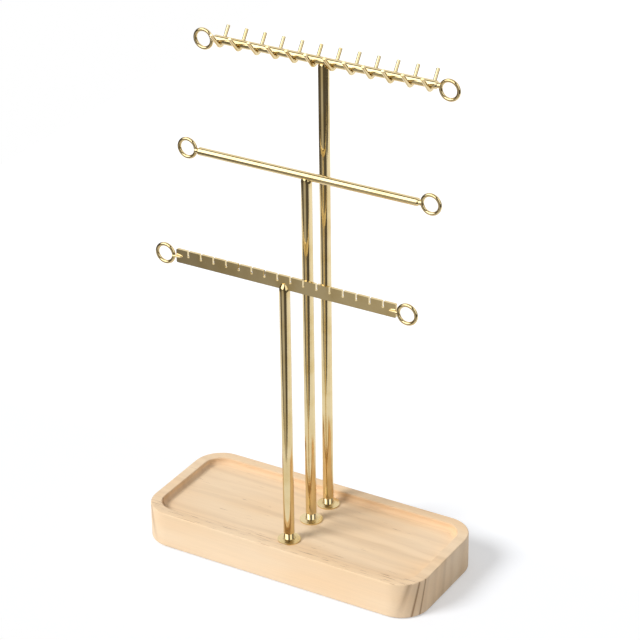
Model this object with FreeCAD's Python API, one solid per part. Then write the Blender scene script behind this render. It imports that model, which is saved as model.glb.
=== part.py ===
import FreeCAD, Part
import math
import os

# Three-tier jewellery stand: a routed wooden tray carries three polished tube posts in a row,
# front to back and rising. The back post holds a round bar with twelve double hooks, the middle
# post a plain round bar, and the front post a slotted strip for earrings. Every bar ends in two
# wire rings. Each post stands on a turned foot and is drawn down by a screw from under the tray.
#
# Frame: millimetres. X runs along the bars, Y from front to back, Z up. The origin is on the
# surface that the stand rests on, under the middle of the tray.

Vector = FreeCAD.Vector

# ---------------------------------------------------------------- driving dimensions

# tray
tray_length = 232.0
tray_width = 100.0
tray_height = 28.5
tray_corner_radius = 22.5
rim_width = 8.5
recess_depth = 5.5
recess_floor_fillet = 3.4
rim_edge_round = 0.9
tray_foot_round = 1.5

# anti-slip pads, stuck in shallow seats under the tray
pad_diameter = 12.0
pad_thickness = 1.5
pad_seat_depth = 1.0
pad_seat_clearance = 0.2
pad_edge_distance = 24.0

# posts: how far the front one stands in from the edge of the tray, how far the middle one stands
# behind its middle, the gap between the foot of the back one and the cove round the recess, and the
# height of each bar's axis over the underside of the tray
post_diameter = 8.0
post_wall = 1.0
post_end_chamfer = 0.35
front_post_inset = 23.0
middle_post_offset = 4.5
back_foot_gap = 0.1
strip_axis_height = 232.5
middle_bar_axis_height = 300.5
top_bar_axis_height = 376.5

# turned foot of each post
foot_disc_diameter = 17.0
foot_edge_thickness = 0.9
foot_cone_rise = 0.6
foot_neck_diameter = 7.4
foot_neck_height = 4.6

# screw, washer and threaded plug that hold each post
screw_diameter = 4.0
screw_head_diameter = 8.0
screw_head_height = 2.6
screw_drive_across = 2.5
screw_drive_depth = 1.6
screw_grip = 12.0
screw_hole_clearance = 0.25
thread_clearance = 0.05
washer_diameter = 12.0
washer_thickness = 1.0
counterbore_depth = 9.0
counterbore_clearance = 1.0
plug_length = 18.0
plug_clearance = 0.04

# domed cap on each post
cap_skirt = 1.8
cap_height = 7.6
cap_top_diameter = 3.4
cap_spigot_length = 10.0
cap_spigot_clearance = 0.04
seat_above_post = 3.3
bar_ear_height = 1.9
seat_clearance = 0.03

# round bars
bar_diameter = 6.0
bar_end_chamfer = 0.5
bar_pin_diameter = 2.5
bar_pin_in_bar = 2.4
bar_pin_in_cap = 4.0
bar_pin_clearance = 0.04

# slotted earring strip
strip_height = 10.4
strip_thickness = 2.0
strip_corner_radius = 1.0
slot_count = 16
slot_end_margin = 10.05
slot_width = 1.3
slot_depth = 5.2
slot_eye_diameter = 1.9

# rings on the ends of the bars and of the strip: the span is between their centres
ring_span = 195.0
ring_outer_diameter = 16.4
ring_wire = 2.7
ring_neck_diameter = 4.0
ring_neck_length = 1.3
ring_spigot_diameter = 3.0
ring_spigot_length = 6.0
ring_spigot_clearance = 0.04
ring_bury = 0.3
top_ring_rise = -1.8
middle_ring_rise = 0.5
strip_ring_gap = 0.7
strip_ring_forward = 1.2
strip_tail_diameter = 2.4
strip_tail_point_diameter = 0.8
strip_tail_overlap = 4.4

# double hooks under the top bar
hook_count = 12
hook_end_margin = 4.9
hook_wire = 2.6
front_arm_slope = 49.0
front_arm_length = 13.8
back_arm_slope = 54.5
back_arm_length = 12.3
hook_tip_chamfer = 0.3
hook_braze_gap = 0.03

# ---------------------------------------------------------------- derived places

tray_bottom = pad_thickness - pad_seat_depth
tray_top = tray_bottom + tray_height
recess_floor = tray_top - recess_depth
foot_disc_height = foot_edge_thickness + foot_cone_rise
post_bottom = recess_floor + foot_disc_height + foot_neck_height
post_radius = post_diameter / 2
post_bore_radius = post_radius - post_wall
counterbore_top = tray_bottom + counterbore_depth
washer_bottom = counterbore_top - washer_thickness
front_post_y = front_post_inset - tray_width / 2
cove_foot_y = tray_width / 2 - rim_width - recess_floor_fillet
back_post_y = cove_foot_y - back_foot_gap - foot_disc_diameter / 2
bar_radius = bar_diameter / 2
ring_wire_radius = ring_wire / 2
ring_radius = ring_outer_diameter / 2 - ring_wire_radius
bar_length = ring_span - ring_outer_diameter - 2 * ring_neck_length
strip_length = ring_span - ring_outer_diameter - 2 * strip_ring_gap
cap_top_radius = cap_top_diameter / 2

strip_axis = tray_bottom + strip_axis_height
middle_bar_axis = tray_bottom + middle_bar_axis_height
top_bar_axis = tray_bottom + top_bar_axis_height

# height of the bottom of what each post carries, and of the post's own upper end
strip_seat = strip_axis - strip_height / 2
middle_bar_seat = middle_bar_axis - bar_radius
top_bar_seat = top_bar_axis - bar_radius
posts = {
    "front": (front_post_y, strip_seat - seat_above_post),
    "middle": (middle_post_offset, middle_bar_seat - seat_above_post),
    "back": (back_post_y, top_bar_seat - seat_above_post),
}

# the four corners of the tray, as signs in X and Y
corners = {
    (-1, -1): "front_left",
    (1, -1): "front_right",
    (-1, 1): "back_left",
    (1, 1): "back_right",
}

ALONG_X = Vector(1, 0, 0)
ALONG_Y = Vector(0, 1, 0)
UP = Vector(0, 0, 1)


# ---------------------------------------------------------------- small helpers

def save(shape, name):
    """Write one piece to its own STEP file."""
    shape.exportStep("parts/" + name + ".step")
    print(name, "solids", len(shape.Solids), "valid", shape.isValid(), "volume", round(shape.Volume, 1))


def upright_cylinder(diameter, bottom, top, y=0.0, x=0.0):
    """Cylinder along Z between two heights."""
    return Part.makeCylinder(diameter / 2, top - bottom, Vector(x, y, bottom), UP)


def turned(points, y):
    """Solid of revolution about the vertical axis at Y = y, from (radius, height) points."""
    outline_points = [Vector(radius, 0, height) for radius, height in points]
    outline = Part.makePolygon(outline_points + [outline_points[0]])
    solid = Part.Face(outline).revolve(Vector(0, 0, 0), UP, 360)
    solid.translate(Vector(0, y, 0))
    return solid


def rounded_slab(length, width, radius, bottom, top):
    """Upright slab with rounded vertical corners, centred on the origin."""
    slab = Part.makeBox(length, width, top - bottom, Vector(-length / 2, -width / 2, bottom))
    upright = [edge for edge in slab.Edges if abs(edge.tangentAt(edge.FirstParameter).z) > 0.99]
    return slab.makeFillet(radius, upright)


def spread(count, span):
    """Places in X of a row of equally spaced items, centred on zero, the outer two one span apart."""
    return [span * (number / (count - 1) - 0.5) for number in range(count)]


def edges_at_height(shape, height):
    """Edges that lie wholly in one horizontal plane."""
    found = []
    for edge in shape.Edges:
        box = edge.BoundBox
        if abs(box.ZMin - height) < 1e-6 and abs(box.ZMax - height) < 1e-6:
            found.append(edge)
    return found


# ---------------------------------------------------------------- tray, pads and fastenings

def make_tray():
    """Solid wooden tray with a routed recess, counterbored from below for the three screws."""
    tray = rounded_slab(tray_length, tray_width, tray_corner_radius, tray_bottom, tray_top)
    recess = rounded_slab(tray_length - 2 * rim_width, tray_width - 2 * rim_width,
                          tray_corner_radius - rim_width, recess_floor, tray_top + recess_depth)
    recess = recess.makeFillet(recess_floor_fillet, edges_at_height(recess, recess_floor))
    tray = tray.cut(recess)
    tray = tray.makeFillet(rim_edge_round, edges_at_height(tray, tray_top))
    tray = tray.makeFillet(tray_foot_round, edges_at_height(tray, tray_bottom))
    hole_diameter = screw_diameter + 2 * screw_hole_clearance
    bore_diameter = washer_diameter + counterbore_clearance
    for post_y, _ in posts.values():
        tray = tray.cut(upright_cylinder(hole_diameter, 0, tray_top, post_y))
        tray = tray.cut(upright_cylinder(bore_diameter, 0, counterbore_top, post_y))
    seat_diameter = pad_diameter + 2 * pad_seat_clearance
    for side_x, side_y in corners:
        pad_x, pad_y = pad_place(side_x, side_y)
        tray = tray.cut(upright_cylinder(seat_diameter, 0, pad_thickness, pad_y, pad_x))
    return tray


def pad_place(side_x, side_y):
    """Centre of the pad at one corner of the tray."""
    return side_x * (tray_length / 2 - pad_edge_distance), side_y * (tray_width / 2 - pad_edge_distance)


def make_pad(side_x, side_y):
    """Round anti-slip pad under one corner of the tray, standing a little proud of it."""
    pad_x, pad_y = pad_place(side_x, side_y)
    return upright_cylinder(pad_diameter, 0, pad_thickness, pad_y, pad_x)


def make_washer(post_y):
    """Flat washer between the screw head and the roof of the counterbore."""
    washer = upright_cylinder(washer_diameter, washer_bottom, counterbore_top, post_y)
    hole = upright_cylinder(screw_diameter + 2 * screw_hole_clearance, washer_bottom, counterbore_top, post_y)
    return washer.cut(hole)


def make_screw(post_y):
    """Socket-head screw that draws the post down on the tray."""
    head_bottom = washer_bottom - screw_head_height
    head = upright_cylinder(screw_head_diameter, head_bottom, washer_bottom, post_y)
    shank = upright_cylinder(screw_diameter, washer_bottom, post_bottom + screw_grip, post_y)
    screw = head.fuse(shank).removeSplitter()
    socket = hexagon_bar(screw_drive_across, head_bottom, head_bottom + screw_drive_depth, post_y)
    return screw.cut(socket)


def hexagon_bar(across_flats, bottom, top, y):
    """Upright hexagonal prism."""
    corner_radius = across_flats / math.sqrt(3)
    hexagon = []
    for step in range(7):
        angle = math.radians(60 * step)
        hexagon.append(Vector(corner_radius * math.cos(angle), y + corner_radius * math.sin(angle), bottom))
    return Part.Face(Part.makePolygon(hexagon)).extrude(UP * (top - bottom))


def make_foot(post_y):
    """Turned foot: a thin coned disc with a short neck, bored for the screw."""
    bore = screw_diameter / 2 + screw_hole_clearance
    disc = foot_disc_diameter / 2
    neck = foot_neck_diameter / 2
    edge_top = recess_floor + foot_edge_thickness
    cone_top = recess_floor + foot_disc_height
    return turned([(bore, recess_floor), (disc, recess_floor), (disc, edge_top), (neck, cone_top),
                   (neck, post_bottom), (bore, post_bottom)], post_y)


def make_plug(post_y):
    """Threaded plug pressed into the lower end of the tube."""
    outer = post_bore_radius - plug_clearance
    bore = screw_diameter / 2 + thread_clearance
    plug_top = post_bottom + plug_length
    return turned([(bore, post_bottom), (outer, post_bottom), (outer, plug_top), (bore, plug_top)], post_y)


def make_post(post_y, post_top):
    """Thin-walled tube with a small chamfer round its lower end."""
    inner = post_bore_radius
    outer = post_radius
    return turned([(inner, post_bottom), (outer - post_end_chamfer, post_bottom),
                   (outer, post_bottom + post_end_chamfer), (outer, post_top), (inner, post_top)], post_y)


# ---------------------------------------------------------------- caps

def make_cap_blank(post_y, post_top, lug_height):
    """Pointed-arch cap on a spigot: a short skirt, then an arc that closes in towards a flat top."""
    outer = post_radius
    skirt_top = post_top + cap_skirt
    rise = cap_height - cap_skirt
    narrowing = outer - cap_top_radius
    arc_radius = (narrowing ** 2 + rise ** 2) / (2 * narrowing)
    centre_radius = outer - arc_radius

    def radius_at(height):
        return centre_radius + math.sqrt(arc_radius ** 2 - (height - skirt_top) ** 2)

    top = post_top + seat_above_post + lug_height
    half_way = (skirt_top + top) / 2
    spigot = post_bore_radius - cap_spigot_clearance
    spigot_bottom = post_top - cap_spigot_length
    arch = Part.Arc(Vector(outer, 0, skirt_top), Vector(radius_at(half_way), 0, half_way),
                    Vector(radius_at(top), 0, top)).toShape()
    inside = [Vector(radius_at(top), 0, top), Vector(0, 0, top), Vector(0, 0, spigot_bottom),
              Vector(spigot, 0, spigot_bottom), Vector(spigot, 0, post_top), Vector(outer, 0, post_top),
              Vector(outer, 0, skirt_top)]
    outline = Part.Wire([arch] + Part.makePolygon(inside).Edges)
    blank = Part.Face(outline).revolve(Vector(0, 0, 0), UP, 360)
    blank.translate(Vector(0, post_y, 0))
    return blank


def bar_groove(post_y, axis_height):
    """Cutter for the round seat of a bar."""
    radius = bar_radius + seat_clearance
    return Part.makeCylinder(radius, bar_length, Vector(-bar_length / 2, post_y, axis_height), ALONG_X)


def make_bar_cap(post_y, post_top, axis_height):
    """Cap with a round saddle for a bar and a blind hole for the pin."""
    cap = make_cap_blank(post_y, post_top, bar_ear_height)
    cap = cap.cut(bar_groove(post_y, axis_height))
    seat = axis_height - bar_radius
    pin_hole = upright_cylinder(bar_pin_diameter + 2 * bar_pin_clearance, seat - bar_pin_in_cap,
                                seat + bar_radius, post_y)
    return cap.cut(pin_hole)


def make_strip_cap(post_y, post_top):
    """Cap slotted for the strip, with one lug in front of it and one behind."""
    lug_height = cap_height - seat_above_post
    cap = make_cap_blank(post_y, post_top, lug_height)
    slot_thickness = strip_thickness + 2 * seat_clearance
    slot_bottom = post_top + seat_above_post
    slot = Part.makeBox(2 * post_diameter, slot_thickness, 2 * lug_height,
                        Vector(-post_diameter, post_y - slot_thickness / 2, slot_bottom))
    return cap.cut(slot)


# ---------------------------------------------------------------- bars, strip and rings

def make_bar(post_y, axis_height):
    """Round bar with chamfered ends, drilled for the pin and for the spigots of its rings."""
    bar = Part.makeCylinder(bar_radius, bar_length, Vector(-bar_length / 2, post_y, axis_height), ALONG_X)
    rims = [edge for edge in bar.Edges if abs(abs(edge.BoundBox.XMin) - bar_length / 2) < 1e-6
            and edge.BoundBox.XLength < 1e-6]
    bar = bar.makeChamfer(bar_end_chamfer, rims)
    seat = axis_height - bar_radius
    pin_hole = upright_cylinder(bar_pin_diameter + 2 * bar_pin_clearance, seat - 1,
                                seat + bar_pin_in_bar, post_y)
    bar = bar.cut(pin_hole)
    hole_radius = ring_spigot_diameter / 2 + ring_spigot_clearance
    hole_length = ring_spigot_length + ring_spigot_clearance
    for side in (-1, 1):
        mouth = Vector(side * bar_length / 2, post_y, axis_height)
        bar = bar.cut(Part.makeCylinder(hole_radius, hole_length, mouth, ALONG_X * -side))
    return bar


def make_bar_pin(post_y, axis_height):
    """Pin that locates a bar in the saddle of its cap."""
    seat = axis_height - bar_radius
    return upright_cylinder(bar_pin_diameter, seat - bar_pin_in_cap, seat + bar_pin_in_bar, post_y)


def make_strip():
    """Flat strip on edge, with a row of keyhole slots open at its upper edge."""
    corner = Vector(-strip_length / 2, front_post_y - strip_thickness / 2, strip_seat)
    strip = Part.makeBox(strip_length, strip_thickness, strip_height, corner)
    ends = [edge for edge in strip.Edges if abs(edge.tangentAt(edge.FirstParameter).y) > 0.99]
    strip = strip.makeFillet(strip_corner_radius, ends)
    strip_top = strip_seat + strip_height
    eye_radius = slot_eye_diameter / 2
    eye_height = strip_top - slot_depth + eye_radius
    behind = Vector(0, front_post_y - strip_thickness, 0)
    for slot_x in spread(slot_count, strip_length - 2 * slot_end_margin):
        slot = Part.makeBox(slot_width, 2 * strip_thickness, slot_depth,
                            behind + Vector(slot_x - slot_width / 2, 0, eye_height))
        eye = Part.makeCylinder(eye_radius, 2 * strip_thickness, behind + Vector(slot_x, 0, eye_height), ALONG_Y)
        strip = strip.cut(slot.fuse(eye))
    return strip


def make_bar_ring(side, post_y, axis_height, rise):
    """Wire ring with a neck that meets the end of a round bar and a spigot inside it."""
    centre = Vector(side * ring_span / 2, post_y, axis_height + rise)
    wire = Part.makeTorus(ring_radius, ring_wire_radius, centre, ALONG_Y)
    bar_end = side * bar_length / 2
    reach = math.sqrt(ring_radius ** 2 - rise ** 2)
    neck_length = ring_span / 2 - reach - bar_length / 2
    neck = Part.makeCylinder(ring_neck_diameter / 2, neck_length,
                             Vector(bar_end, post_y, axis_height), ALONG_X * side)
    eye = Part.makeCylinder(ring_radius - ring_wire_radius, ring_wire,
                            centre - ALONG_Y * ring_wire_radius, ALONG_Y)
    spigot = Part.makeCylinder(ring_spigot_diameter / 2, ring_spigot_length + ring_bury,
                               Vector(bar_end + side * ring_bury, post_y, axis_height), ALONG_X * -side)
    return wire.fuse([neck.cut(eye), spigot]).removeSplitter()


def make_strip_ring(side):
    """Wire ring with a pointed tail that lies on the front face of the strip."""
    centre = Vector(side * ring_span / 2, front_post_y - strip_ring_forward, strip_axis)
    wire = Part.makeTorus(ring_radius, ring_wire_radius, centre, ALONG_Y)
    tail_radius = strip_tail_diameter / 2
    tail_y = front_post_y - strip_thickness / 2 - tail_radius - seat_clearance
    tail_length = ring_wire_radius + strip_ring_gap + strip_tail_overlap
    start = Vector(side * (ring_span / 2 - ring_radius), tail_y, strip_axis)
    tail = Part.makeCone(tail_radius, strip_tail_point_diameter / 2, tail_length, start, ALONG_X * -side)
    return wire.fuse(tail).removeSplitter()


# ---------------------------------------------------------------- hooks

def make_hook(hook_x):
    """Double hook: one wire bent under the bar, with a straight arm up on each side of it."""
    bend_radius = bar_radius + hook_wire / 2 + hook_braze_gap
    axis = Vector(hook_x, back_post_y, top_bar_axis)

    def arm(side, slope, length):
        turn = math.radians(slope)
        bend = axis + Vector(0, side * math.sin(turn), -math.cos(turn)) * bend_radius
        return bend, bend + Vector(0, side * math.cos(turn), math.sin(turn)) * length

    front_bend, front_tip = arm(-1, front_arm_slope, front_arm_length)
    back_bend, back_tip = arm(1, back_arm_slope, back_arm_length)
    path = Part.Wire([Part.makeLine(front_tip, front_bend),
                      Part.Arc(front_bend, axis - UP * bend_radius, back_bend).toShape(),
                      Part.makeLine(back_bend, back_tip)])
    section = Part.Wire(Part.makeCircle(hook_wire / 2, front_tip, front_bend - front_tip))
    hook = path.makePipeShell([section], True, False)
    rims = [face.Edges[0] for face in hook.Faces if face.Surface.TypeId == "Part::GeomPlane"]
    return hook.makeChamfer(hook_tip_chamfer, rims)


# ---------------------------------------------------------------- build every piece

os.makedirs("parts", exist_ok=True)

save(make_tray(), "tray")
for (side_x, side_y), corner_name in corners.items():
    save(make_pad(side_x, side_y), "pad_" + corner_name)

for post_name, (post_y, post_top) in posts.items():
    save(make_post(post_y, post_top), post_name + "_post")
    save(make_foot(post_y), post_name + "_foot")
    save(make_plug(post_y), post_name + "_post_plug")
    save(make_screw(post_y), post_name + "_screw")
    save(make_washer(post_y), post_name + "_washer")

save(make_strip_cap(*posts["front"]), "front_cap")
save(make_strip(), "earring_strip")
for side_name, side in (("left", -1), ("right", 1)):
    save(make_strip_ring(side), "earring_strip_ring_" + side_name)

for tier, post_name, axis_height, rise in (("middle_bar", "middle", middle_bar_axis, middle_ring_rise),
                                           ("top_bar", "back", top_bar_axis, top_ring_rise)):
    post_y, post_top = posts[post_name]
    save(make_bar_cap(post_y, post_top, axis_height), post_name + "_cap")
    save(make_bar(post_y, axis_height), tier)
    save(make_bar_pin(post_y, axis_height), tier + "_pin")
    for side_name, side in (("left", -1), ("right", 1)):
        save(make_bar_ring(side, post_y, axis_height, rise), tier + "_ring_" + side_name)

for number, hook_x in enumerate(spread(hook_count, bar_length - 2 * hook_end_margin), 1):
    save(make_hook(hook_x), "hook_%02d" % number)
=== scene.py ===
"""Looks of a three-tier jewellery stand: pine tray and gold-plated posts, bars, strip and hooks.

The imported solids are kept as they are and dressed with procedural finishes. The brazed joints
between wires and bars are modelled here, as meshes of their own. The scene is in metres, and each
class says what its own sizes are in.
"""

import logging
import math
from dataclasses import dataclass
from enum import Enum
from typing import Any, Dict, Iterable, List, Mapping, Optional, Sequence, Tuple

import bmesh
import bpy
from mathutils import Matrix, Vector


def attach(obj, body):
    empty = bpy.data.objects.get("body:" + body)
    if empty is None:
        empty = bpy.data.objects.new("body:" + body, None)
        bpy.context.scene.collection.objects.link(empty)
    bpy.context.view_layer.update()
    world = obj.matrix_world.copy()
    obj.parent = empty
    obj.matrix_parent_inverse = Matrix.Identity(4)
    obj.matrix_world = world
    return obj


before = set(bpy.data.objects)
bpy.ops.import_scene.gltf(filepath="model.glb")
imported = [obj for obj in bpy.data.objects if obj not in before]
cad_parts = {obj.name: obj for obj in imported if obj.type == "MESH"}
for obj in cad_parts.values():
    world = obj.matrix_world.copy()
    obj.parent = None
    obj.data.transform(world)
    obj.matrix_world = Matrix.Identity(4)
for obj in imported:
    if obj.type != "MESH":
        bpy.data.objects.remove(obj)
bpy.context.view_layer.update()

logging.basicConfig(level=logging.INFO, format="%(name)s: %(message)s")
log = logging.getLogger("jewellery_stand")

Colour = Tuple[float, float, float, float]
Point = Tuple[float, float, float]
Pair = Tuple[float, float]
Links = Mapping[Any, Any]

MM = 0.001
BODY = "root"
WHITE: Colour = (1.0, 1.0, 1.0, 1.0)
# edges of the meshes made here stay hard past this angle, in degrees
HARD_EDGE = 50.0
# the hollow of a fillet: where along it points are set, and the knee that pulls it in, as shares
# of the half width and the height at which it meets the wire
FILLET_STEPS = (0.0, 0.25, 0.5, 0.75, 1.0)
FILLET_KNEE = (1.04, 0.12)


class Slot(Enum):
    """Material slots of the record."""

    PINE = "pine"
    GOLD = "gold_plate"
    STEEL = "fastener_steel"
    RUBBER = "pad_rubber"


# ---------------------------------------------------------------- small helpers

def linear(hex_colour: str) -> Colour:
    """Turn an sRGB hex colour into linear RGBA.

    Args:
        hex_colour: Six hex digits.

    Returns:
        The colour in linear light, with an alpha of 1.
    """
    channels = []
    for start in (0, 2, 4):
        value = int(hex_colour[start:start + 2], 16) / 255
        channels.append(value / 12.92 if value <= 0.04045 else ((value + 0.055) / 1.055) ** 2.4)
    return channels[0], channels[1], channels[2], 1.0


def add_node(tree: bpy.types.NodeTree, kind: str, inputs: Optional[Links] = None,
             **settings: Any) -> bpy.types.Node:
    """Add a node, with its settings, its input values and its links.

    Args:
        tree: The node tree to add to.
        kind: The node's type name, without its leading ShaderNode.
        inputs: For each input, by name or number, an output socket to link or a value to set.
        settings: Properties of the node itself.

    Returns:
        The new node.
    """
    node = tree.nodes.new("ShaderNode" + kind)
    for name, value in settings.items():
        setattr(node, name, value)
    for key, value in (inputs or {}).items():
        if isinstance(value, bpy.types.NodeSocket):
            tree.links.new(value, node.inputs[key])
        else:
            node.inputs[key].default_value = value
    return node


def fill_ramp(node: bpy.types.Node, stops: Sequence[Tuple[float, Colour]]) -> bpy.types.NodeSocket:
    """Set the stops of a colour ramp.

    Args:
        node: The colour ramp node.
        stops: Place from 0 to 1 and linear colour of each stop, in order.

    Returns:
        The ramp's colour output.
    """
    elements = node.color_ramp.elements
    while len(elements) < len(stops):
        elements.new(1.0)
    for element, (place, colour) in zip(elements, stops):
        element.position = place
        element.color = colour
    return node.outputs["Color"]


def loft(name: str, sections: Sequence[Sequence[Point]]) -> bpy.types.Object:
    """Build a closed mesh through a row of closed sections.

    Args:
        name: The new object's name.
        sections: Loops of points in millimetres, equally many in each, from end to end.

    Returns:
        The new object, smooth apart from its sharp edges, its faces turned outwards.
    """
    count = len(sections[0])
    points = [Vector(point) * MM for section in sections for point in section]
    faces: List[Tuple[int, ...]] = []
    for row in range(len(sections) - 1):
        for place in range(count):
            after = (place + 1) % count
            faces.append((row * count + place, row * count + after,
                          (row + 1) * count + after, (row + 1) * count + place))
    faces.append(tuple(reversed(range(count))))
    faces.append(tuple(range((len(sections) - 1) * count, len(sections) * count)))
    mesh = bpy.data.meshes.new(name)
    mesh.from_pydata(points, [], faces)
    shell = bmesh.new()
    shell.from_mesh(mesh)
    bmesh.ops.recalc_face_normals(shell, faces=shell.faces)
    shell.to_mesh(mesh)
    shell.free()
    mesh.shade_smooth()
    mesh.set_sharp_from_angle(angle=math.radians(HARD_EDGE))
    made = bpy.data.objects.new(name, mesh)
    bpy.context.scene.collection.objects.link(made)
    return made


def fillet_loop(foot: Pair, contact: Pair) -> List[Pair]:
    """Outline of the filler metal between a wire and the surface that it lies on.

    The surface is the line of zero height, and the outline is the same on both sides of the wire.

    Args:
        foot: Half width of the filler on the surface and how deep that edge is sunk.
        contact: Half width and height at which the filler meets the wire.

    Returns:
        Points (aside, height) of a closed loop, hollow on both sides.
    """
    knee = (contact[0] * FILLET_KNEE[0], FILLET_KNEE[1] * contact[1])
    side = []
    for share in FILLET_STEPS:
        near, middle, far = (1 - share) ** 2, 2 * share * (1 - share), share ** 2
        side.append((near * foot[0] + middle * knee[0] + far * contact[0],
                     near * foot[1] + middle * knee[1] + far * contact[1]))
    mirrored = [(-aside, height) for aside, height in reversed(side)]
    return side + [(0.0, contact[1])] + mirrored + [(0.0, 2 * foot[1])]


# ---------------------------------------------------------------- finishes

@dataclass(frozen=True)
class Finish:
    """A surface finish. Each kind writes its own node tree in `paint`."""

    name: str

    def paint(self, tree: bpy.types.NodeTree, shader: bpy.types.Node,
              millimetres: bpy.types.NodeSocket) -> None:
        """Write the finish's nodes. Each finish has its own.

        Args:
            tree: The material's node tree.
            shader: The Principled shader of the material.
            millimetres: The place on the object, in millimetres.
        """
        raise NotImplementedError

    def material(self) -> bpy.types.Material:
        """Make the material, with its coordinates in millimetres of the stand's own frame.

        Returns:
            The new material.
        """
        made = bpy.data.materials.new(self.name)
        made.use_nodes = True
        tree = made.node_tree
        tree.nodes.clear()
        shader = add_node(tree, "BsdfPrincipled")
        add_node(tree, "OutputMaterial", {"Surface": shader.outputs["BSDF"]})
        place = add_node(tree, "TexCoord").outputs["Object"]
        to_mm = add_node(tree, "VectorMath", {0: place, "Scale": 1 / MM}, operation="SCALE")
        self.paint(tree, shader, to_mm.outputs["Vector"])
        log.info("finish %s", self.name)
        return made


def stretched_noise(tree: bpy.types.NodeTree, millimetres: bpy.types.NodeSocket, size: Point,
                    detail: float = 2.0, roughness: float = 0.5) -> bpy.types.NodeSocket:
    """Add noise whose features have a given size along each axis.

    Args:
        tree: The node tree to add to.
        millimetres: The place on the object, in millimetres.
        size: Feature size along X, Y and Z, in millimetres.
        detail: Octaves of finer noise.
        roughness: Weight of the finer octaves.

    Returns:
        The noise value, around 0.5.
    """
    scaled = add_node(tree, "Mapping", {"Vector": millimetres,
                                        "Scale": [1 / part for part in size]})
    noise = add_node(tree, "TexNoise", {"Vector": scaled.outputs["Vector"], "Scale": 1.0,
                                        "Detail": detail, "Roughness": roughness})
    return noise.outputs["Fac"]


def remap(tree: bpy.types.NodeTree, value: bpy.types.NodeSocket, low: float, high: float,
          to_low: float = 0.0, to_high: float = 1.0) -> bpy.types.NodeSocket:
    """Map a range of values smoothly onto another.

    Args:
        tree: The node tree to add to.
        value: The value to map.
        low: Start of the range that is mapped.
        high: End of that range.
        to_low: What the start becomes.
        to_high: What the end becomes.

    Returns:
        The mapped value.
    """
    mapped = add_node(tree, "MapRange", {"Value": value, "From Min": low, "From Max": high,
                                         "To Min": to_low, "To Max": to_high},
                      interpolation_type="SMOOTHSTEP")
    return mapped.outputs["Result"]


def blend(tree: bpy.types.NodeTree, share: Any, below: Any, above: Any,
          way: str = "MIX") -> bpy.types.NodeSocket:
    """Mix two colours.

    Args:
        tree: The node tree to add to.
        share: How much of the second colour shows, a socket or a number.
        below: First colour, a socket or a linear colour.
        above: Second colour.
        way: Blend mode.

    Returns:
        The mixed colour.
    """
    mixed = add_node(tree, "Mix", {0: share, 6: below, 7: above}, data_type="RGBA", blend_type=way)
    return mixed.outputs[2]


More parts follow.
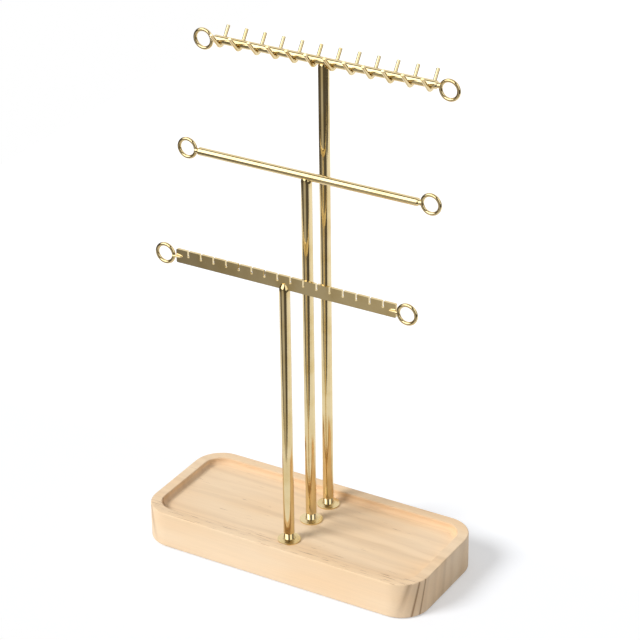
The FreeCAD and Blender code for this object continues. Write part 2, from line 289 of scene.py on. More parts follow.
@dataclass(frozen=True)
class OiledPine(Finish):
    """Finger-sanded pine under a thin matt oil.

    The sanding leaves a pale, even face with a low sheen. The board is sawn so that its growth
    rings stand nearly upright and run lengthwise: soft brown bands on the flat faces, darker
    slanting lines where the ends cut across them, and a few short dark flecks.

    Sizes and rows are in millimetres, rows across the board. A contrast is the range of a noise
    that is spread from 0 to 1, and a facing is a range of the surface's turn towards an axis. A
    strength with two values is that of the flat faces and what the ends add to it.
    """

    name: str = "oiled_pine"
    pale: str = "FADFBC"
    warm: str = "F8D7AE"
    tint_size: Point = (120.0, 35.0, 30.0)
    tint_contrast: Pair = (0.35, 0.7)

    ring_tilt: float = 0.20
    ring_wander: float = 1.0
    wander_size: Point = (170.0, 60.0, 60.0)
    ring_sway: float = 4.0
    sway_size: Point = (55.0, 25.0, 40.0)
    end_facing: Pair = (0.25, 0.85)
    even_rows: Pair = (-50.0, -28.0)
    even_share: float = 0.15

    late_wood: str = "8C6136"
    late_rows: Pair = (-56.0, -36.0)
    late_lines: Tuple[Pair, ...] = (
        (0.22, 0.0), (0.33, 0.70), (0.43, 0.12), (0.60, 0.08), (0.66, 1.0), (0.71, 0.12),
        (0.88, 0.0), (0.94, 0.90), (0.99, 0.0))
    line_strength: Pair = (0.12, 0.78)
    band_size: Point = (260.0, 8.0, 1.0)
    band_contrast: Pair = (0.42, 0.70)
    band_strength: Pair = (0.12, 0.03)

    streak: str = "D9B78E"
    streak_size: Point = (90.0, 8.0, 1.0)
    streak_contrast: Pair = (0.46, 0.74)
    streak_strength: float = 0.24

    fibre_size: Point = (45.0, 0.9, 0.9)
    fibre_contrast: Pair = (0.3, 0.7)
    fibre_tones: Pair = (0.98, 1.012)

    fleck: str = "85552B"
    fleck_size: Point = (16.0, 0.8, 1.6)
    fleck_rows: Pair = (-40.0, -31.0)
    fleck_limit: float = 0.70
    fleck_ease: float = 0.10
    fleck_edge: float = 0.08
    fleck_strength: float = 0.62
    top_facing: Pair = (0.2, 0.8)

    # painted shade multiplied into the wall and cove of the recess, with where it ends and which
    # slopes take it
    painted_wall_shade: str = "F5F0EC"
    recess_half: Point = (107.5, 41.5, 0.0)
    recess_edge: Pair = (0.4, 1.2)
    wall_facing: Pair = (0.90, 0.985)

    ior: float = 1.47
    oil_gloss: Pair = (0.60, 0.48)
    relief: float = 0.06
    relief_strength: float = 0.35
    fleck_dip: float = 0.8

    def paint(self, tree: bpy.types.NodeTree, shader: bpy.types.Node,
              millimetres: bpy.types.NodeSocket) -> None:
        """Write the wood: rings, bands, fibres and flecks.

        Args:
            tree: The material's node tree.
            shader: The Principled shader of the material.
            millimetres: The place on the object, in millimetres.
        """
        axes = add_node(tree, "SeparateXYZ", {0: millimetres})
        wander = stretched_noise(tree, millimetres, self.wander_size, detail=1.0)
        drift = add_node(tree, "Math", {0: wander, 1: 2 * self.ring_wander, 2: -self.ring_wander},
                         operation="MULTIPLY_ADD")
        height = add_node(tree, "Math", {0: axes.outputs["Z"], 1: -self.ring_tilt,
                                         2: drift.outputs[0]}, operation="MULTIPLY_ADD")
        across = add_node(tree, "Math", {0: axes.outputs["Y"], 1: height.outputs[0]}).outputs[0]

        # a few wide-set late-wood lines near the front edge, and soft uneven bands behind them,
        # which fade out where the board ends in even sapwood at the front
        place = add_node(tree, "MapRange", {"Value": across, "From Min": self.late_rows[0],
                                            "From Max": self.late_rows[1]})
        profile = add_node(tree, "ValToRGB", {"Fac": place.outputs["Result"]})
        lines = fill_ramp(profile, [(share, (grey, grey, grey, 1.0))
                                    for share, grey in self.late_lines])
        waves = stretched_noise(tree, millimetres, self.sway_size, detail=1.0)
        swayed = add_node(tree, "Math", {0: waves, 1: 2 * self.ring_sway, 2: across},
                          operation="MULTIPLY_ADD")
        in_ring = add_node(tree, "CombineXYZ", {"X": axes.outputs["X"], "Y": swayed.outputs[0]})
        growth = stretched_noise(tree, in_ring.outputs["Vector"], self.band_size, detail=0.5)
        behind = remap(tree, across, *self.even_rows, self.even_share, 1.0)
        bands = add_node(tree, "Math", {0: remap(tree, growth, *self.band_contrast), 1: behind},
                         operation="MULTIPLY").outputs[0]

        # how much of the lines and bands shows, on the flat faces and on the ends
        facing = add_node(tree, "SeparateXYZ", {0: add_node(tree, "NewGeometry").outputs["Normal"]})
        end_on = add_node(tree, "Math", {0: facing.outputs["X"]}, operation="ABSOLUTE")
        end_grain = remap(tree, end_on.outputs[0], *self.end_facing)
        line_share = add_node(tree, "Math", {0: end_grain, 1: self.line_strength[1],
                                             2: self.line_strength[0]}, operation="MULTIPLY_ADD")
        line_mask = add_node(tree, "Math", {0: line_share.outputs[0], 1: lines},
                             operation="MULTIPLY")
        band_share = add_node(tree, "Math", {0: end_grain, 1: self.band_strength[1],
                                             2: self.band_strength[0]}, operation="MULTIPLY_ADD")
        band_mask = add_node(tree, "Math", {0: band_share.outputs[0], 1: bands},
                             operation="MULTIPLY")

        tint = remap(tree, stretched_noise(tree, millimetres, self.tint_size), *self.tint_contrast)
        ground = blend(tree, tint, linear(self.pale), linear(self.warm))
        strands = stretched_noise(tree, in_ring.outputs["Vector"], self.streak_size, detail=2.0)
        soft = remap(tree, strands, *self.streak_contrast, 0.0, self.streak_strength)
        streaks = add_node(tree, "Math", {0: soft, 1: behind}, operation="MULTIPLY")
        streaked = blend(tree, streaks.outputs[0], ground, linear(self.streak))
        banded = blend(tree, band_mask.outputs[0], streaked, linear(self.late_wood))
        ringed = blend(tree, line_mask.outputs[0], banded, linear(self.late_wood))

        fibres = stretched_noise(tree, millimetres, self.fibre_size, detail=3.0, roughness=0.6)
        level = remap(tree, fibres, *self.fibre_contrast, *self.fibre_tones)
        tone = add_node(tree, "CombineColor", {"Red": level, "Green": level, "Blue": level})
        fibred = blend(tree, 1.0, ringed, tone.outputs["Color"], way="MULTIPLY")

        # short dark flecks, thick along the front of the recess and rare elsewhere on top
        marks = stretched_noise(tree, millimetres, self.fleck_size, detail=2.0)
        upward = remap(tree, facing.outputs["Z"], *self.top_facing)
        near_front = remap(tree, across, *self.fleck_rows, 1.0, 0.0)
        least = add_node(tree, "Math", {0: near_front, 1: -self.fleck_ease, 2: self.fleck_limit},
                         operation="MULTIPLY_ADD")
        over = add_node(tree, "Math", {0: marks, 1: least.outputs[0]}, operation="SUBTRACT")
        flecks = remap(tree, over.outputs[0], 0.0, self.fleck_edge, 0.0, self.fleck_strength)
        fleck_mask = add_node(tree, "Math", {0: flecks, 1: upward}, operation="MULTIPLY")
        flecked = blend(tree, fleck_mask.outputs[0], fibred, linear(self.fleck))

        # painted shade: the wall and cove of the recess are multiplied a little darker
        beyond = add_node(tree, "VectorMath", {0: millimetres}, operation="ABSOLUTE")
        past = add_node(tree, "VectorMath", {0: beyond.outputs["Vector"], 1: self.recess_half},
                        operation="SUBTRACT")
        sides = add_node(tree, "SeparateXYZ", {0: past.outputs["Vector"]})
        outside = add_node(tree, "Math", {0: sides.outputs["X"], 1: sides.outputs["Y"]},
                           operation="MAXIMUM")
        inside = remap(tree, outside.outputs[0], *self.recess_edge, 1.0, 0.0)
        sloping = remap(tree, facing.outputs["Z"], *self.wall_facing, 1.0, 0.0)
        painted_wall_shade = add_node(tree, "Math", {0: inside, 1: sloping}, operation="MULTIPLY")
        colour = blend(tree, painted_wall_shade.outputs[0], flecked, linear(self.painted_wall_shade), way="MULTIPLY")
        tree.links.new(colour, shader.inputs["Base Color"])

        gloss = remap(tree, fibres, *self.fibre_contrast, *self.oil_gloss)
        tree.links.new(gloss, shader.inputs["Roughness"])
        shader.inputs["IOR"].default_value = self.ior
        relief = add_node(tree, "Math", {0: fleck_mask.outputs[0], 1: -self.fleck_dip, 2: fibres},
                          operation="MULTIPLY_ADD")
        bump = add_node(tree, "Bump", {"Height": relief.outputs[0],
                                       "Strength": self.relief_strength,
                                       "Distance": self.relief * MM})
        tree.links.new(bump.outputs["Normal"], shader.inputs["Normal"])


@dataclass(frozen=True)
class PolishedGoldPlate(Finish):
    """Light champagne gold plated over buffed brass and iron.

    Buffing before plating leaves a mirror with a faint haze, so lamps and room read as soft-edged
    stripes along the tubes. Slow unevenness in the tube bends those stripes a little. The buffing
    marks are drawn coarser than they are, because the real ones are too fine to show. Sizes and
    depths are in millimetres.
    """

    name: str = "polished_gold_plate"
    gold: str = "E0CC9E"
    deep_gold: str = "D6BE88"
    haze_size: float = 18.0
    tint_contrast: Pair = (0.35, 0.7)
    haze_contrast: Pair = (0.35, 0.75)
    haze_roughness: Pair = (0.07, 0.13)
    wave_size: float = 9.0
    wave_depth: float = 0.02
    buff_width: float = 0.8
    buff_depth: float = 0.0005
    buff_strength: float = 0.2

    def paint(self, tree: bpy.types.NodeTree, shader: bpy.types.Node,
              millimetres: bpy.types.NodeSocket) -> None:
        """Write the gold: tint, haze, slow waves and buffing marks.

        Args:
            tree: The material's node tree.
            shader: The Principled shader of the material.
            millimetres: The place on the object, in millimetres.
        """
        haze = stretched_noise(tree, millimetres, (self.haze_size,) * 3, detail=4.0)
        tint = remap(tree, haze, *self.tint_contrast)
        tree.links.new(blend(tree, tint, linear(self.gold), linear(self.deep_gold)),
                       shader.inputs["Base Color"])
        tree.links.new(remap(tree, haze, *self.haze_contrast, *self.haze_roughness),
                       shader.inputs["Roughness"])
        shader.inputs["Metallic"].default_value = 1.0
        waves = stretched_noise(tree, millimetres, (self.wave_size,) * 3, detail=0.0)
        buffing = stretched_noise(tree, millimetres, (self.buff_width,) * 3, detail=1.0)
        slow = add_node(tree, "Bump", {"Height": waves, "Strength": 1.0,
                                       "Distance": self.wave_depth * MM})
        fine = add_node(tree, "Bump", {"Height": buffing, "Strength": self.buff_strength,
                                       "Distance": self.buff_depth * MM,
                                       "Normal": slow.outputs["Normal"]})
        tree.links.new(fine.outputs["Normal"], shader.inputs["Normal"])


@dataclass(frozen=True)
class TurnedGoldPlate(PolishedGoldPlate):
    """The same gold plate over a foot that is only lightly buffed after the lathe.

    Shallow circles round the post ripple what the disc reflects, drawn coarser than the marks of a
    real tool, which are too fine to show. Fine coned grooves in the neck tip its shine upwards, so
    the lamps and the gaps between them stand in it as upright stripes. Sizes are in millimetres,
    and the axes are the places of the posts from front to back.
    """

    name: str = "turned_gold_plate"
    axes: Tuple[float, ...] = (-27.0, 4.5, 29.5)
    disc_facing: Pair = (0.5, 0.9)
    circle_pitch: float = 1.1
    circle_contrast: Pair = (0.3, 0.7)
    circle_depth: float = 0.02
    circle_strength: float = 0.5
    satin: Pair = (0.26, 0.40)
    neck_reach: float = 4.6
    neck_edge: float = 0.3
    groove_slope: float = 0.6

    def paint(self, tree: bpy.types.NodeTree, shader: bpy.types.Node,
              millimetres: bpy.types.NodeSocket) -> None:
        """Write the gold, then the grooves of the neck and the circles on what faces up.

        Args:
            tree: The material's node tree.
            shader: The Principled shader of the material.
            millimetres: The place on the object, in millimetres.
        """
        super().paint(tree, shader, millimetres)
        flat = add_node(tree, "VectorMath", {0: millimetres, 1: (1.0, 1.0, 0.0)},
                        operation="MULTIPLY")
        nearest = None
        for axis in self.axes:
            gap = add_node(tree, "VectorMath", {0: flat.outputs["Vector"], 1: (0.0, axis, 0.0)},
                           operation="DISTANCE").outputs["Value"]
            nearest = gap if nearest is None else add_node(
                tree, "Math", {0: nearest, 1: gap}, operation="MINIMUM").outputs[0]
        radial = add_node(tree, "CombineXYZ", {"X": nearest}).outputs["Vector"]
        circles = stretched_noise(tree, radial, (self.circle_pitch, 1.0, 1.0), detail=2.0)
        facing = add_node(tree, "SeparateXYZ", {0: add_node(tree, "NewGeometry").outputs["Normal"]})
        disc = remap(tree, facing.outputs["Z"], *self.disc_facing)
        buffed = shader.inputs["Roughness"].links[0].from_socket
        satin = remap(tree, circles, *self.circle_contrast, *self.satin)
        rough = add_node(tree, "Mix", {0: disc, 2: buffed, 3: satin})
        tree.links.new(rough.outputs[0], shader.inputs["Roughness"])
        height = add_node(tree, "SeparateXYZ", {0: millimetres}).outputs["Z"]
        beside = remap(tree, nearest, self.neck_reach - self.neck_edge, self.neck_reach,
                       -self.groove_slope, 0.0)
        groove = add_node(tree, "Math", {0: height, 1: beside}, operation="MULTIPLY")
        coned = add_node(tree, "Bump", {"Height": groove.outputs[0], "Strength": 1.0,
                                        "Distance": MM,
                                        "Normal": shader.inputs["Normal"].links[0].from_socket})
        polished = coned.outputs["Normal"]
        bump = add_node(tree, "Bump", {"Height": circles, "Strength": self.circle_strength,
                                       "Distance": self.circle_depth * MM, "Normal": polished})
        turned = add_node(tree, "Mix", {0: disc, 4: polished, 5: bump.outputs["Normal"]},
                          data_type="VECTOR")
        tree.links.new(turned.outputs[1], shader.inputs["Normal"])


@dataclass(frozen=True)
class ZincPlatedSteel(Finish):
    """Zinc-plated steel fastenings, turned and left unpolished.

    The plating gives a cool grey with a blue tinge and a dull, slightly mottled gloss. Sizes are
    in millimetres.
    """

    name: str = "zinc_plated_steel"
    light: str = "C9CDD2"
    dark: str = "9DA4AD"
    mottle_size: float = 1.6
    mottle_contrast: Pair = (0.35, 0.65)
    mottle_roughness: Pair = (0.28, 0.42)
    turning_size: Point = (2.5, 2.5, 0.25)
    turning_depth: float = 0.01
    turning_strength: float = 0.4

    def paint(self, tree: bpy.types.NodeTree, shader: bpy.types.Node,
              millimetres: bpy.types.NodeSocket) -> None:
        """Write the zinc: mottled colour, gloss and a fine grain.

        Args:
            tree: The material's node tree.
            shader: The Principled shader of the material.
            millimetres: The place on the object, in millimetres.
        """
        mottle = stretched_noise(tree, millimetres, (self.mottle_size,) * 3, detail=5.0,
                                 roughness=0.6)
        tint = remap(tree, mottle, *self.mottle_contrast)
        tree.links.new(blend(tree, tint, linear(self.light), linear(self.dark)),
                       shader.inputs["Base Color"])
        tree.links.new(remap(tree, mottle, *self.mottle_contrast, *self.mottle_roughness),
                       shader.inputs["Roughness"])
        shader.inputs["Metallic"].default_value = 1.0
        turning = stretched_noise(tree, millimetres, self.turning_size, detail=2.0)
        bump = add_node(tree, "Bump", {"Height": turning, "Strength": self.turning_strength,
                                       "Distance": self.turning_depth * MM})
        tree.links.new(bump.outputs["Normal"], shader.inputs["Normal"])


@dataclass(frozen=True)
class MouldedRubber(Finish):
    """Soft moulded rubber for the pads, with a fine matt grain from the mould.

    The grain breaks up highlights, so the pads look dull and slightly dusty. Sizes are in
    millimetres.
    """

    name: str = "moulded_rubber"
    dark: str = "2E2D2C"
    dusty: str = "4A4846"
    dust_size: float = 4.0
    dust_contrast: Pair = (0.4, 0.7)
    dust_roughness: Pair = (0.62, 0.78)
    grain_size: float = 0.5
    grain_depth: float = 0.05
    grain_strength: float = 0.5

    def paint(self, tree: bpy.types.NodeTree, shader: bpy.types.Node,
              millimetres: bpy.types.NodeSocket) -> None:
        """Write the rubber: dust, dull gloss and mould grain.

        Args:
            tree: The material's node tree.
            shader: The Principled shader of the material.
            millimetres: The place on the object, in millimetres.
        """
        dust = stretched_noise(tree, millimetres, (self.dust_size,) * 3, detail=4.0)
        tint = remap(tree, dust, *self.dust_contrast)
        tree.links.new(blend(tree, tint, linear(self.dark), linear(self.dusty)),
                       shader.inputs["Base Color"])
        tree.links.new(remap(tree, dust, *self.dust_contrast, *self.dust_roughness),
                       shader.inputs["Roughness"])
        grain = stretched_noise(tree, millimetres, (self.grain_size,) * 3, detail=2.0)
        bump = add_node(tree, "Bump", {"Height": grain, "Strength": self.grain_strength,
                                       "Distance": self.grain_depth * MM})
        tree.links.new(bump.outputs["Normal"], shader.inputs["Normal"])


# ---------------------------------------------------------------- sub-assemblies

class Finishes:
    """The finish of each material slot, made once and shared by all the pieces."""

    def __init__(self) -> None:
        """Make the materials. The feet have gold of their own, turned instead of polished."""
        self.by_slot: Dict[Slot, bpy.types.Material] = {
            Slot.PINE: OiledPine().material(),
            Slot.GOLD: PolishedGoldPlate().material(),
            Slot.STEEL: ZincPlatedSteel().material(),
            Slot.RUBBER: MouldedRubber().material(),
        }
        self.turned_gold: bpy.types.Material = TurnedGoldPlate().material()

    def dress(self, piece: bpy.types.Object, slot: Slot) -> None:
        """Give a piece the finish of a slot.

        Args:
            piece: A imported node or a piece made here.
            slot: The material slot that the piece belongs to.
        """
        self.dress_with(piece, self.by_slot[slot])

    def dress_with(self, piece: bpy.types.Object, material: bpy.types.Material) -> None:
        """Give a piece one material, in place of whatever it had.

        Args:
            piece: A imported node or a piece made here.
            material: The material.
        """
        if piece.data.materials:
            for number in range(len(piece.data.materials)):
                piece.data.materials[number] = material
        else:
            piece.data.materials.append(material)


@dataclass
class SubAssembly:
    """Pieces that belong together. Each kind names its nodes and may build more meshes.

    Args:
        finishes: The finishes that the pieces are dressed with.
    """

    finishes: Finishes

    def dress_nodes(self, names: Iterable[str], slot: Slot) -> None:
        """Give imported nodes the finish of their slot.

        Args:
            names: Names of the nodes.
            slot: Their material slot.
        """
        for name in names:
            self.finishes.dress(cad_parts[name], slot)
            log.info("node %s in %s", name, slot.value)

    def add_piece(self, piece: bpy.types.Object, slot: Slot) -> None:
        """Dress a piece made here and let it ride with the stand.

        Args:
            piece: The new piece, in place.
            slot: The material slot that it takes its finish from.
        """
        self.finishes.dress(piece, slot)
        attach(piece, BODY)
        log.info("piece %s in %s", piece.name, slot.value)


@dataclass
class Tray(SubAssembly):
    """The wooden tray, with its recess cut by a router, and its four pads."""

    def build(self) -> None:
        """Dress the tray and the pads."""
        self.dress_nodes(["tray"], Slot.PINE)
        pads = ["pad_%s_%s" % (end, side)
                for end in ("front", "back") for side in ("left", "right")]
        self.dress_nodes(pads, Slot.RUBBER)


@dataclass
class Posts(SubAssembly):
    """The three posts, each with its foot, cap and fastenings."""

    def build(self) -> None:
        """Dress every piece of the posts."""
        for post in ("front", "middle", "back"):
            self.dress_nodes([post + "_post", post + "_cap"], Slot.GOLD)
            self.finishes.dress_with(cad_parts[post + "_foot"], self.finishes.turned_gold)
            self.dress_nodes([post + "_post_plug", post + "_screw", post + "_washer"], Slot.STEEL)


@dataclass
class Tiers(SubAssembly):
    """The earring strip and the two bars, with the rings on their ends and the joints between.

    A cone of filler closes the step from a bar's end to the neck of its ring, and a bead beds the
    tail of each strip ring on the face of the strip. Sizes are in millimetres. The collar is given
    by reach past the bar's end and radius, and a tail by place along the strip and radius.
    """

    bar_axes: Tuple[Tuple[str, float, float], ...] = (
        ("middle_bar", 4.5, 301.0), ("top_bar", 29.5, 377.0))
    bar_end: float = 88.0
    collar: Tuple[Pair, ...] = (
        (-0.25, 2.20), (0.02, 2.46), (0.10, 2.42), (0.25, 2.24), (0.50, 2.10), (0.90, 2.03),
        (1.30, 1.98))
    sides: int = 32
    strip_face: float = -28.0
    strip_axis: float = 233.0
    strip_end: float = 88.6
    tail_axis: float = -29.23
    tail_root: Pair = (90.65, 1.2)
    tail_tip: Pair = (84.2, 0.4)
    least_radius: float = 0.3
    bead_inset: float = 0.4
    bead_past_tip: float = 0.9
    bead_spread: float = 0.75
    bead_sink: float = 0.04
    bead_hold: Pair = (0.97, 0.86)
    bead_end: float = 0.03
    bead_steps: int = 9

    def bar_collar(self, name: str, side: int, y: float, z: float) -> bpy.types.Object:
        """Turned cone of filler round the neck of a ring.

        Args:
            name: The piece's name.
            side: -1 for the left end of the bar, 1 for the right.
            y: Place of the bar's axis.
            z: Height of the bar's axis.

        Returns:
            The new piece.
        """
        turns = [2 * math.pi * step / self.sides for step in range(self.sides)]
        return loft(name, [[(side * (self.bar_end + reach), y + radius * math.cos(turn),
                             z + radius * math.sin(turn)) for turn in turns]
                           for reach, radius in self.collar])

    def tail_bead(self, name: str, side: int) -> bpy.types.Object:
        """Bead of filler between the tail of a strip ring and the strip.

        Args:
            name: The piece's name.
            side: -1 for the left end of the strip, 1 for the right.

        Returns:
            The new piece.
        """
        start, finish = self.strip_end - self.bead_inset, self.tail_tip[0] - self.bead_past_tip
        slope = (self.tail_root[1] - self.tail_tip[1]) / (self.tail_root[0] - self.tail_tip[0])
        gap = self.strip_face - self.tail_axis
        sections = []
        for step in range(self.bead_steps):
            share = step / (self.bead_steps - 1)
            x = start + (finish - start) * share
            radius = max(self.tail_tip[1] + slope * (x - self.tail_tip[0]), self.least_radius)
            fade = math.sqrt(max(1.0 - share ** 3, self.bead_end))
            loop = fillet_loop((fade * (radius + self.bead_spread), -self.bead_sink),
                               (fade * radius * self.bead_hold[0], fade * gap * self.bead_hold[1]))
            sections.append([(side * x, self.strip_face - height, self.strip_axis + aside)
                             for aside, height in loop])
        return loft(name, sections)

    def build(self) -> None:
        """Dress the strip, the bars, their pins and rings, and add the joints."""
        tiers = ["earring_strip", "middle_bar", "top_bar"]
        rings = ["%s_ring_%s" % (tier, side) for tier in tiers for side in ("left", "right")]
        self.dress_nodes(tiers + rings, Slot.GOLD)
        self.dress_nodes(["middle_bar_pin", "top_bar_pin"], Slot.STEEL)
        for word, side in (("left", -1), ("right", 1)):
            for bar, y, z in self.bar_axes:
                self.add_piece(self.bar_collar("%s_collar_%s" % (bar, word), side, y, z), Slot.GOLD)
            self.add_piece(self.tail_bead("earring_strip_bead_" + word, side), Slot.GOLD)


@dataclass
class Hooks(SubAssembly):
    """The row of double hooks under the top bar, each with the fillet of filler that holds it.

    The filler runs along the wire where it bends round the bar and thins out towards both arms.
    Sizes are in millimetres. The half arc is in degrees from straight down, and the touch in
    degrees round the wire, at the filler's ends and what its middle adds.
    """

    bar_y: float = 29.5
    bar_z: float = 377.0
    bar_radius: float = 3.0
    bend_radius: float = 4.33
    wire_radius: float = 1.3
    count: int = 12
    span: float = 166.2
    half_arc: float = 42.0
    touch: Pair = (40.0, 38.0)
    hold: float = 0.98
    margin: float = 0.1
    spread: float = 0.85
    sink: float = 0.06
    steps: int = 15

    def braze(self, name: str, x: float) -> bpy.types.Object:
        """Fillet between one hook and the bar.

        Args:
            name: The piece's name.
            x: Place of the hook along the bar.

        Returns:
            The new piece.
        """
        sections = []
        for step in range(self.steps):
            place = 2 * step / (self.steps - 1) - 1
            fullness = math.sqrt(max(1 - place * place, 0.0))
            turn = math.radians(self.half_arc * place)
            touch = math.radians(self.touch[0] + self.touch[1] * fullness)
            contact = (self.wire_radius * math.sin(touch) * self.hold,
                       self.bend_radius - self.bar_radius - self.wire_radius * math.cos(touch))
            foot = (contact[0] + self.margin + self.spread * fullness, -self.sink)
            loop = fillet_loop(foot, contact)
            sections.append([(x + aside, self.bar_y - (self.bar_radius + height) * math.sin(turn),
                              self.bar_z - (self.bar_radius + height) * math.cos(turn))
                             for aside, height in loop])
        return loft(name, sections)

    def build(self) -> None:
        """Dress the hooks and braze each one on."""
        self.dress_nodes(["hook_%02d" % (number + 1) for number in range(self.count)], Slot.GOLD)
        for number in range(self.count):
            x = self.span * (number / (self.count - 1) - 0.5)
            self.add_piece(self.braze("hook_%02d_braze" % (number + 1), x), Slot.GOLD)


# ---------------------------------------------------------------- studio and camera

@dataclass(frozen=True)
class Camera:
    """The camera: where it stands, how it is turned and how long its lens is.

    Its place is in metres, its angles in radians, its lens and sensor in millimetres.
    """

    place: Point = (0.844343, -1.397662, 1.039145)
    azimuth: float = 0.537
    elevation: float = 0.479
    roll: float = -0.012
    lens: float = 146.374
    sensor: float = 36.0

    def build(self) -> None:
        """Make the camera and let the scene use it."""
        back = Vector((math.sin(self.azimuth) * math.cos(self.elevation),
                       -math.cos(self.azimuth) * math.cos(self.elevation),
                       math.sin(self.elevation)))
        level_right = Vector((0.0, 0.0, 1.0)).cross(back).normalized()
        level_up = back.cross(level_right)
        right = math.cos(self.roll) * level_right + math.sin(self.roll) * level_up
        up = -math.sin(self.roll) * level_right + math.cos(self.roll) * level_up
        data = bpy.data.cameras.new("camera")
        data.lens = self.lens
        data.sensor_width = self.sensor
        camera = bpy.data.objects.new("camera", data)
        turned = Matrix((right, up, back)).transposed().to_4x4()
        camera.matrix_world = Matrix.Translation(self.place) @ turned
        bpy.context.scene.collection.objects.link(camera)
        bpy.context.scene.camera = camera


@dataclass(frozen=True)
class Panel:
    """A soft-edged rectangle in the surroundings, as polished metal reflects it.

    Args:
        azimuth: Direction of its middle in degrees, from -Y towards +X.
        elevation: Direction of its middle above the horizon, in degrees.
        half_width: Half its width, as a share of its distance.
        half_height: Half its height, as a share of its distance.
        edge: Width of its soft edge, as a share of its distance.
        brightness: Linear colour that it shows.
    """

    azimuth: float
    elevation: float
    half_width: float
    half_height: float
    edge: float
    brightness: Colour


def direction(azimuth: float, elevation: float) -> Vector:
    """Turn an azimuth and an elevation into a direction.

    Args:
        azimuth: Angle from -Y towards +X, in degrees.
        elevation: Angle above the horizon, in degrees.

    Returns:
        The unit vector that points there.
    """
    turn = math.radians(azimuth)
    rise = math.radians(elevation)
    return Vector((math.sin(turn) * math.cos(rise), -math.cos(turn) * math.cos(rise),
                   math.sin(rise)))


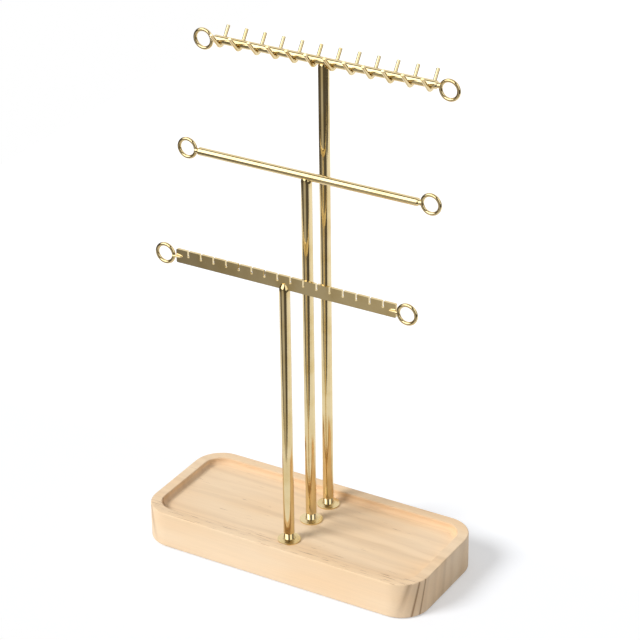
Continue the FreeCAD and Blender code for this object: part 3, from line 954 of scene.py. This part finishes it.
@dataclass(frozen=True)
class Studio:
    """Pale floor, one soft key lamp, an even fill and pale panels in the dark round the stand.

    Lengths are in metres and angles in degrees. Levels are linear, where 1 is white. The dark
    goes from its low to its high colour within the horizon's height of a ray.
    """

    floor_low: Pair = (-0.62, -0.185)
    floor_high: Pair = (0.70, 1.20)
    floor_colour: str = "D7D9DD"
    floor_lift: float = 0.37
    far_lift: float = 0.14
    far_start: float = 0.065
    far_end: float = 0.115
    key_azimuth: float = -35.0
    key_elevation: float = 40.0
    key_spread: float = 24.0
    key_level: float = 0.75
    fill_level: float = 0.44
    dark_low: Colour = (0.112, 0.104, 0.098, 1.0)
    dark_high: Colour = (0.085, 0.08, 0.075, 1.0)
    horizon: float = 0.1
    softbox: Colour = (2.6, 2.65, 2.75, 1.0)
    window: Colour = (1.4, 1.45, 1.5, 1.0)
    table: Colour = (0.55, 0.53, 0.49, 1.0)
    wall: Colour = (1.12, 1.12, 1.12, 1.0)

    def panels(self) -> List[Panel]:
        """List the panels that the metal reflects.

        Returns:
            The sweep and wall behind, the table and softbox in front, the window at the right.
        """
        return [
            Panel(184.0, -20.0, 1.07, 1.10, 0.10, WHITE),
            Panel(184.0, 46.0, 1.45, 0.58, 0.08, self.wall),
            Panel(-9.7, -38.0, 0.385, 0.80, 0.11, self.table),
            Panel(-28.0, 36.0, 0.62, 0.56, 0.06, self.softbox),
            Panel(74.0, 25.0, 0.43, 0.47, 0.08, self.window),
        ]

    def build_floor(self) -> None:
        """Lay the floor sheet. It looks white where it is lit and keeps the stand's shadow.

        Well behind the tray it is lifted a little more, so that the long, thin shade of the bars
        fades out and only the shadow beside the tray is left.
        """
        x_low, y_low = self.floor_low
        x_high, y_high = self.floor_high
        mesh = bpy.data.meshes.new("floor")
        mesh.from_pydata([(x_low, y_low, 0.0), (x_high, y_low, 0.0), (x_high, y_high, 0.0),
                          (x_low, y_high, 0.0)], [], [(0, 1, 2, 3)])
        floor = bpy.data.objects.new("floor", mesh)
        bpy.context.scene.collection.objects.link(floor)
        material = bpy.data.materials.new("pale_studio_paper")
        material.use_nodes = True
        tree = material.node_tree
        tree.nodes.clear()
        paper = add_node(tree, "BsdfDiffuse", {"Color": linear(self.floor_colour)})
        seen = self.seen(tree)
        place = add_node(tree, "TexCoord").outputs["Object"]
        depth = add_node(tree, "SeparateXYZ", {0: place}).outputs["Y"]
        level = remap(tree, depth, self.far_start, self.far_end, self.floor_lift,
                      self.floor_lift + self.far_lift)
        lift = add_node(tree, "Math", {0: seen, 1: level}, operation="MULTIPLY")
        glow = add_node(tree, "Emission", {"Color": WHITE, "Strength": lift.outputs[0]})
        both = add_node(tree, "AddShader", {0: paper.outputs[0], 1: glow.outputs[0]})
        add_node(tree, "OutputMaterial", {"Surface": both.outputs[0]})
        mesh.materials.append(material)

    def seen(self, tree: bpy.types.NodeTree) -> bpy.types.NodeSocket:
        """Tell what the camera sees, straight or in a reflection, from what only lights.

        Args:
            tree: The node tree to add to.

        Returns:
            A value of 1 for what is seen, and else 0.
        """
        path = add_node(tree, "LightPath")
        either = add_node(tree, "Math", {0: path.outputs["Is Camera Ray"],
                                         1: path.outputs["Is Glossy Ray"]}, operation="MAXIMUM")
        return either.outputs[0]

    def panel_mask(self, tree: bpy.types.NodeTree, ray: bpy.types.NodeSocket,
                   panel: Panel) -> bpy.types.NodeSocket:
        """Add the soft-edged mask of a panel.

        Args:
            tree: The world's node tree.
            ray: Direction of the ray.
            panel: The panel.

        Returns:
            A value of 1 on the panel and 0 off it.
        """
        centre = direction(panel.azimuth, panel.elevation)
        right = direction(panel.azimuth + 90.0, 0.0)
        up = right.cross(centre)
        if up.z < 0:
            up = -up
        dots = [add_node(tree, "VectorMath", {0: ray, 1: axis},
                         operation="DOT_PRODUCT").outputs["Value"] for axis in (centre, right, up)]
        # what lies behind the viewer is masked out, and there the division only stays finite
        ahead = add_node(tree, "Math", {0: dots[0], 1: 0.0001}, operation="MAXIMUM").outputs[0]
        mask = remap(tree, dots[0], 0.0, 0.1)
        for dot, half in ((dots[1], panel.half_width), (dots[2], panel.half_height)):
            offset = add_node(tree, "Math", {0: dot, 1: ahead}, operation="DIVIDE")
            size = add_node(tree, "Math", {0: offset.outputs[0]}, operation="ABSOLUTE")
            inside = remap(tree, size.outputs[0], half - panel.edge, half + panel.edge, 1.0, 0.0)
            mask = add_node(tree, "Math", {0: mask, 1: inside}, operation="MULTIPLY").outputs[0]
        return mask

    def build_world(self) -> None:
        """Make the surroundings: white to the camera, an even fill, panels in the metal."""
        world = bpy.data.worlds.new("studio")
        world.use_nodes = True
        tree = world.node_tree
        tree.nodes.clear()
        ray = add_node(tree, "TexCoord").outputs["Generated"]
        height = add_node(tree, "SeparateXYZ", {0: ray}).outputs["Z"]
        around = blend(tree, remap(tree, height, -self.horizon, self.horizon), self.dark_low,
                       self.dark_high)
        for panel in self.panels():
            around = blend(tree, self.panel_mask(tree, ray, panel), around, panel.brightness)
        fill = (self.fill_level, self.fill_level, self.fill_level, 1.0)
        path = add_node(tree, "LightPath")
        for_metal = blend(tree, path.outputs["Is Glossy Ray"], fill, around)
        colour = blend(tree, path.outputs["Is Camera Ray"], for_metal, WHITE)
        background = add_node(tree, "Background", {"Color": colour, "Strength": 1.0})
        add_node(tree, "OutputWorld", {"Surface": background.outputs[0]})
        bpy.context.scene.world = world

    def build_key(self) -> None:
        """Hang the key lamp. Its power gives a facing white card the level asked for."""
        lamp = bpy.data.lights.new("key", "SUN")
        lamp.angle = math.radians(self.key_spread)
        lamp.energy = math.pi * self.key_level
        towards = direction(self.key_azimuth, self.key_elevation)
        key = bpy.data.objects.new("key", lamp)
        key.visible_glossy = False
        key.rotation_mode = "QUATERNION"
        key.rotation_quaternion = towards.to_track_quat("Z", "Y")
        bpy.context.scene.collection.objects.link(key)

    def build(self) -> None:
        """Build the floor, the surroundings and the lamp, and set the plain colour transform."""
        self.build_floor()
        self.build_world()
        self.build_key()
        bpy.context.scene.view_settings.view_transform = "Standard"


# ---------------------------------------------------------------- build everything


def main() -> None:
    """Build the sub-assemblies in order, then the studio and the camera."""
    finishes = Finishes()
    for kind in (Tray, Posts, Tiers, Hooks):
        kind(finishes).build()
        log.info("%s done", kind.__name__)
    Studio().build()
    Camera().build()


if __name__ == "__main__":
    main()
